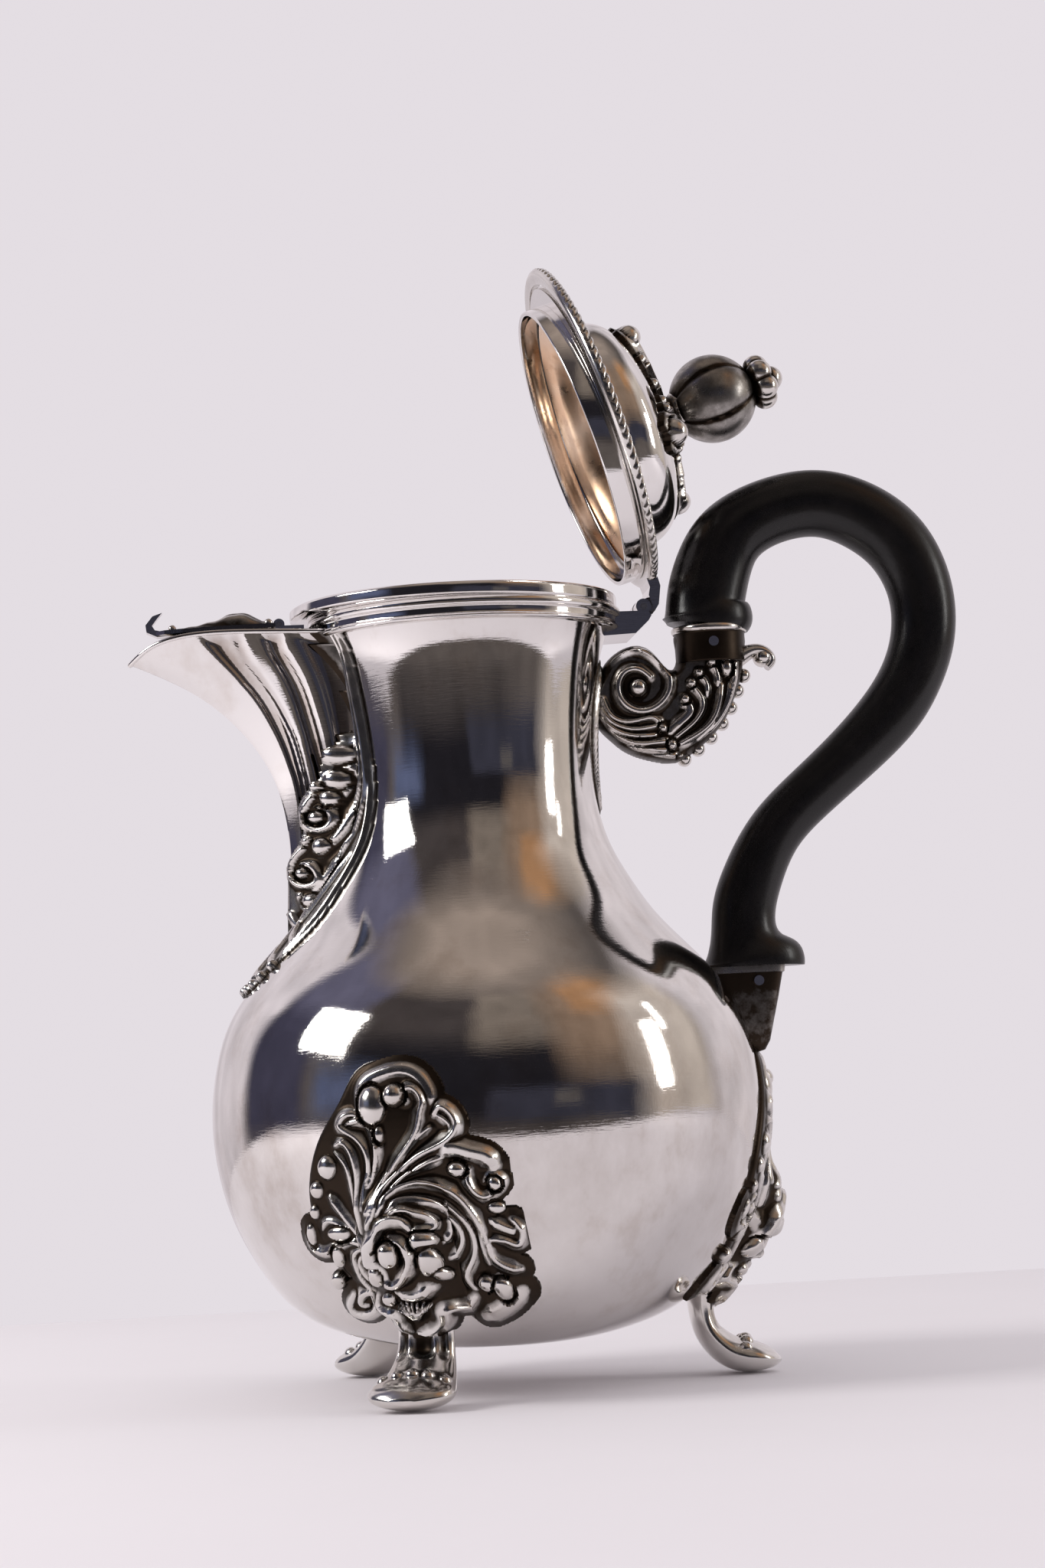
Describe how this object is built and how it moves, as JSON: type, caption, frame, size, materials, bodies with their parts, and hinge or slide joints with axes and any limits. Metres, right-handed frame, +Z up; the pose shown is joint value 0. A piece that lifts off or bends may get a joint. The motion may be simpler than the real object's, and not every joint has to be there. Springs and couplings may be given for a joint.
{
  "type": "pot",
  "caption": "Pear-shaped silver pot on three scroll feet, with a beak spout, wooden loop handle, hinged finial lid and a small hinged spout flap.",
  "frame": {"origin": "on the ground under the middle of the object's bounding box", "axes": "+X towards the handle, -X towards the spout, +Z up along the body's axis"},
  "size_m": [0.2083, 0.14, 0.2777],
  "materials": {
    "polished_silver": "hand-polished silver with fine scratches and light smudging",
    "oxidised_silver": "cast silver, bright on the high points and brown-black in the recesses",
    "ebonised_wood": "black ebonised hardwood with a satin sheen",
    "gilt_silver": "warm gilt wash inside the lid, worn at the edges"
  },
  "bodies": {
    "pot": {"body_bottom": "polished_silver", "body_base": "polished_silver", "body_belly": "polished_silver", "body_upper": "polished_silver", "body_shoulder": "polished_silver", "body_neck": "polished_silver", "rim_ring": "polished_silver", "spout_shell": "polished_silver", "spout_mount": "oxidised_silver", "rear_leg": "oxidised_silver", "left_leg": "oxidised_silver", "right_leg": "oxidised_silver", "rear_cartouche": "oxidised_silver", "left_cartouche": "oxidised_silver", "right_cartouche": "oxidised_silver", "upper_socket": "oxidised_silver", "lower_socket": "oxidised_silver", "handle_grip": "ebonised_wood", "upper_pin": "polished_silver", "lower_pin": "polished_silver", "hinge_bracket": "polished_silver", "hinge_pin": "oxidised_silver", "flap_bracket": "polished_silver", "flap_pin": "oxidised_silver"},
    "lid": {"lid_dome": "polished_silver", "lid_border": "oxidised_silver", "lid_bezel": "polished_silver", "lid_hinge_leaf": "polished_silver", "lid_leaves": "oxidised_silver", "finial_bud": "oxidised_silver", "finial_cluster": "oxidised_silver", "finial_stud": "oxidised_silver", "finial_nut": "gilt_silver"},
    "flap": {"flap_plate": "polished_silver", "flap_shell": "oxidised_silver"}
  },
  "joints": [
    {"name": "lid_hinge", "type": "hinge", "parent": "pot", "child": "lid", "pos_m": [0.02315, 0, 0.1905], "axis": [0, 1, 0], "range_deg": [-72, 0]},
    {"name": "flap_hinge", "type": "hinge", "parent": "pot", "child": "flap", "pos_m": [-0.06755, 0, 0.1894], "axis": [0, 1, 0], "range_deg": [0, 55]}
  ]
}
